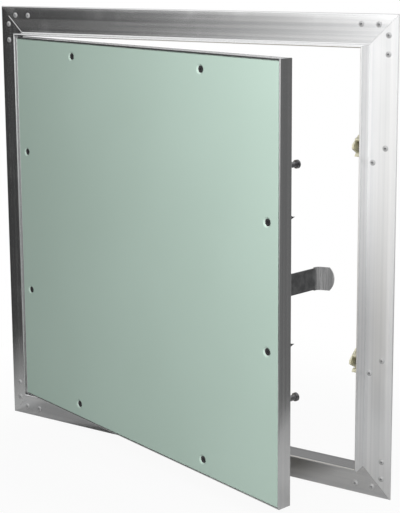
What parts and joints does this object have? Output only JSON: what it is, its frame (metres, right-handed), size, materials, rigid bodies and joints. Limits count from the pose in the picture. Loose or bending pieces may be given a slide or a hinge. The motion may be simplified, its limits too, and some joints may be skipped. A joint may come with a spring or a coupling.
{
  "type": "ceiling access panel",
  "caption": "Square access panel: mitred aluminium frame with a lip for the cut-out, hinged door filled with plasterboard, snap latches with strikers and a safety catch.",
  "frame": {"origin": "middle of the frame on the front face of its flange, where the back of the ceiling board lies", "axes": "+X towards the free edge of the door, +Y to the back into the ceiling space, +Z along the hinge; the door opens towards -Y"},
  "size_m": [0.456, 0.1632, 0.456],
  "materials": {
    "frame_aluminium": "mill-finish extrusion with fine lines along each bar",
    "door_aluminium": "mill-finish extrusion with fine lines along each bar",
    "rivet_aluminium": "satin, with a dark mandrel hole",
    "zinc_steel": "zinc-plated sheet with a fine spangle",
    "passivated_steel": "yellowish passivated zinc, satin",
    "dark_steel": "blackened steel, satin",
    "spring_steel": "drawn wire",
    "catch_steel": "zinc-plated strip, satin",
    "green_board": "pale green board paper, matt",
    "black_screw": "black phosphated, matt"
  },
  "bodies": {
    "frame": {"frame_top": "frame_aluminium", "frame_bottom": "frame_aluminium", "frame_left": "frame_aluminium", "frame_right": "frame_aluminium", "frame_plate_top_left": "zinc_steel", "frame_plate_top_right": "zinc_steel", "frame_plate_bottom_left": "zinc_steel", "frame_plate_bottom_right": "zinc_steel", "corner_rivets": "rivet_aluminium", "latch_rivets": "rivet_aluminium", "housing_rivets": "rivet_aluminium", "upper_latch_bracket": "passivated_steel", "upper_latch_housing": "passivated_steel", "upper_latch_pins": "dark_steel", "upper_latch_springs": "spring_steel", "lower_latch_bracket": "passivated_steel", "lower_latch_housing": "passivated_steel", "lower_latch_pins": "dark_steel", "lower_latch_springs": "spring_steel", "hinge_pin_top": "dark_steel", "hinge_pin_bottom": "dark_steel"},
    "door": {"door_rail_top": "door_aluminium", "door_rail_bottom": "door_aluminium", "door_rail_left": "door_aluminium", "door_rail_right": "door_aluminium", "door_plate_top_left": "zinc_steel", "door_plate_top_right": "zinc_steel", "door_plate_bottom_left": "zinc_steel", "door_plate_bottom_right": "zinc_steel", "door_rivets": "rivet_aluminium", "plasterboard": "green_board", "board_screws": "black_screw", "upper_striker": "dark_steel", "lower_striker": "dark_steel", "catch_bracket": "zinc_steel", "catch_rivets": "rivet_aluminium", "catch_pin": "dark_steel", "catch_spring": "spring_steel"},
    "catch": {"catch_lever": "catch_steel"},
    "upper_latch_top_jaw": {"upper_latch_top_jaw": "passivated_steel"},
    "upper_latch_bottom_jaw": {"upper_latch_bottom_jaw": "passivated_steel"},
    "lower_latch_top_jaw": {"lower_latch_top_jaw": "passivated_steel"},
    "lower_latch_bottom_jaw": {"lower_latch_bottom_jaw": "passivated_steel"}
  },
  "joints": [
    {"name": "door_swing", "type": "hinge", "parent": "frame", "child": "door", "pos_m": [-0.1923, -0.0128, 0], "axis": [0, 0, -1], "range_deg": [-17.2, 90]},
    {"name": "catch_swing", "type": "hinge", "parent": "door", "child": "catch", "pos_m": [0.1645, -0.10566, -0.005], "axis": [0, 0, -1], "range_deg": [-12, 14], "stiffness_Nm_per_rad": 0.05},
    {"name": "upper_grip", "type": "hinge", "parent": "frame", "child": "upper_latch_top_jaw", "pos_m": [0.1856, 0.0236, 0.1076], "axis": [1, 0, 0], "range_deg": [0, 12], "stiffness_Nm_per_rad": 0.02},
    {"name": "upper_grip_bottom", "type": "hinge", "parent": "frame", "child": "upper_latch_bottom_jaw", "pos_m": [0.1856, 0.0236, 0.1004], "axis": [1, 0, 0], "range_deg": [-12, 0]},
    {"name": "lower_grip", "type": "hinge", "parent": "frame", "child": "lower_latch_top_jaw", "pos_m": [0.1856, 0.0236, -0.1004], "axis": [1, 0, 0], "range_deg": [0, 12], "stiffness_Nm_per_rad": 0.02},
    {"name": "lower_grip_bottom", "type": "hinge", "parent": "frame", "child": "lower_latch_bottom_jaw", "pos_m": [0.1856, 0.0236, -0.1076], "axis": [1, 0, 0], "range_deg": [-12, 0]}
  ],
  "couplings": [
    {"joint": "upper_grip_bottom", "follows": "upper_grip", "ratio": -1},
    {"joint": "lower_grip_bottom", "follows": "lower_grip", "ratio": -1}
  ]
}
